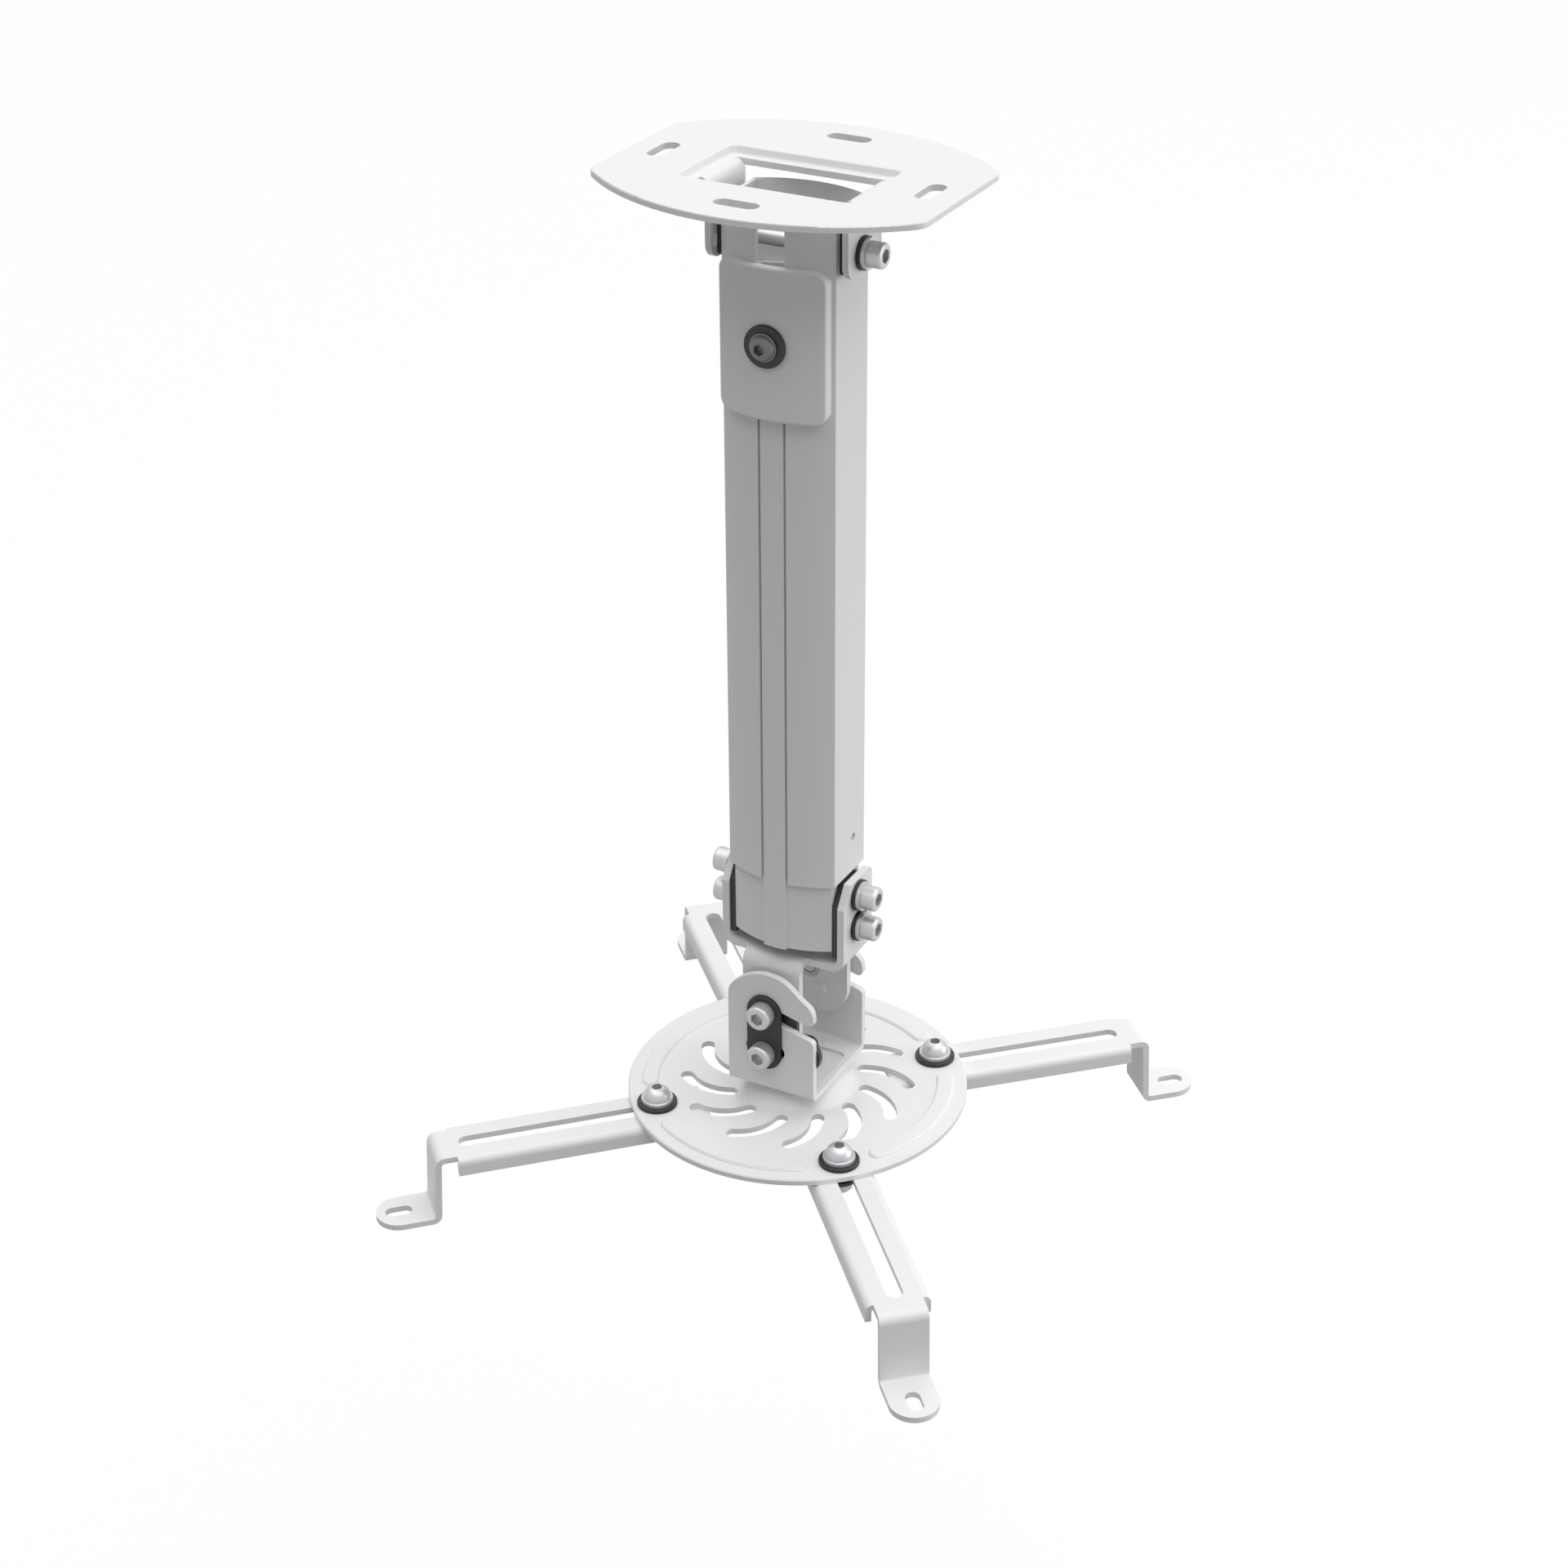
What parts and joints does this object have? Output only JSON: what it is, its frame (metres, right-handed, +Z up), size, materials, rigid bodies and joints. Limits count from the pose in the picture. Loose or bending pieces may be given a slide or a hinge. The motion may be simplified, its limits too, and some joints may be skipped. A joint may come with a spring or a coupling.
{
  "type": "projector ceiling mount",
  "caption": "White projector ceiling mount: telescopic column under a slotted ceiling plate, with tilting yokes and a swivelling disc carrying slotted adjustable arms.",
  "frame": {"origin": "centre of the ceiling plate's top face, where it meets the ceiling", "axes": "+Z up into the ceiling; -Y is the front of the column, the side with the clamp plate; +X to the right seen from the front"},
  "size_m": [0.2639, 0.2697, 0.43],
  "materials": {
    "white_coat": "satin white powder coat on pressed steel sheet",
    "column_coat": "satin white coat on extruded aluminium",
    "black_plastic": "matt black plastic",
    "zinc_steel": "zinc plated",
    "plain_steel": "plain zinc plated"
  },
  "bodies": {
    "ceiling_bracket": {"ceiling_plate": "white_coat", "pivot_spacers": "black_plastic", "pivot_ring": "black_plastic", "pivot_washer": "zinc_steel", "pivot_screw": "zinc_steel", "pivot_nut": "plain_steel"},
    "outer_tube": {"outer_column": "column_coat"},
    "inner_tube": {"inner_column": "column_coat", "end_block": "plain_steel", "clamp_block": "plain_steel", "clamp_plate": "white_coat", "clamp_ring": "black_plastic", "clamp_screw": "zinc_steel", "side_rings": "black_plastic", "side_washers": "zinc_steel", "side_screws": "zinc_steel"},
    "yoke": {"cross_yoke": "white_coat", "side_liners": "black_plastic", "friction_pads": "black_plastic", "bracket_washers": "black_plastic", "bracket_bolts": "zinc_steel", "bracket_nuts": "plain_steel"},
    "bracket": {"lower_bracket": "white_coat", "swivel_washer": "black_plastic", "swivel_bolt": "black_plastic", "swivel_nut": "plain_steel"},
    "disc": {"swivel_disc": "white_coat"},
    "arm_pivot_right": {"arm_washer_right": "black_plastic", "arm_bolt_right": "zinc_steel", "arm_ring_right": "black_plastic", "arm_nut_right": "plain_steel"},
    "arm_body_right": {"arm_right": "white_coat"},
    "arm_pivot_back": {"arm_washer_back": "black_plastic", "arm_bolt_back": "zinc_steel", "arm_ring_back": "black_plastic", "arm_nut_back": "plain_steel"},
    "arm_body_back": {"arm_back": "white_coat"},
    "arm_pivot_left": {"arm_washer_left": "black_plastic", "arm_bolt_left": "zinc_steel", "arm_ring_left": "black_plastic", "arm_nut_left": "plain_steel"},
    "arm_body_left": {"arm_left": "white_coat"},
    "arm_pivot_front": {"arm_washer_front": "black_plastic", "arm_bolt_front": "zinc_steel", "arm_ring_front": "black_plastic", "arm_nut_front": "plain_steel"},
    "arm_body_front": {"arm_front": "white_coat"}
  },
  "joints": [
    {"name": "ceiling_tilt", "type": "hinge", "parent": "ceiling_bracket", "child": "outer_tube", "pos_m": [0, -0.003, -0.026], "axis": [1, 0, 0], "range_deg": [-10, 10]},
    {"name": "drop_slide", "type": "slide", "parent": "outer_tube", "child": "inner_tube", "axis": [0, 0, -1], "range_m": [0, 0.2]},
    {"name": "yoke_tilt", "type": "hinge", "parent": "inner_tube", "child": "yoke", "pos_m": [0, 0, -0.2985], "axis": [1, 0, 0], "range_deg": [-12, 12]},
    {"name": "bracket_roll", "type": "hinge", "parent": "yoke", "child": "bracket", "pos_m": [-0.0025, 0, -0.3495], "axis": [0, 1, 0], "range_deg": [-15, 15]},
    {"name": "disc_swivel", "type": "hinge", "parent": "bracket", "child": "disc", "pos_m": [0, 0, -0.388], "axis": [0, 0, 1], "continuous": true},
    {"name": "arm_swing_right", "type": "hinge", "parent": "disc", "child": "arm_pivot_right", "pos_m": [0.04374, 0.0418, -0.398], "axis": [0, 0, 1], "range_deg": [-45, 45]},
    {"name": "arm_slide_right", "type": "slide", "parent": "arm_pivot_right", "child": "arm_body_right", "axis": [0.729, 0.6845, 0], "range_m": [-0.025, 0.006]},
    {"name": "arm_swing_back", "type": "hinge", "parent": "disc", "child": "arm_pivot_back", "pos_m": [-0.0418, 0.04374, -0.398], "axis": [0, 0, 1], "range_deg": [-45, 45]},
    {"name": "arm_slide_back", "type": "slide", "parent": "arm_pivot_back", "child": "arm_body_back", "axis": [-0.6909, 0.723, 0], "range_m": [-0.025, 0.006]},
    {"name": "arm_swing_left", "type": "hinge", "parent": "disc", "child": "arm_pivot_left", "pos_m": [-0.04374, -0.0418, -0.398], "axis": [0, 0, 1], "range_deg": [-45, 45]},
    {"name": "arm_slide_left", "type": "slide", "parent": "arm_pivot_left", "child": "arm_body_left", "axis": [-0.7169, -0.6972, 0], "range_m": [-0.025, 0.006]},
    {"name": "arm_swing_front", "type": "hinge", "parent": "disc", "child": "arm_pivot_front", "pos_m": [0.0418, -0.04374, -0.398], "axis": [0, 0, 1], "range_deg": [-45, 45]},
    {"name": "arm_slide_front", "type": "slide", "parent": "arm_pivot_front", "child": "arm_body_front", "axis": [0.6652, -0.7466, 0], "range_m": [-0.025, 0.006]}
  ]
}
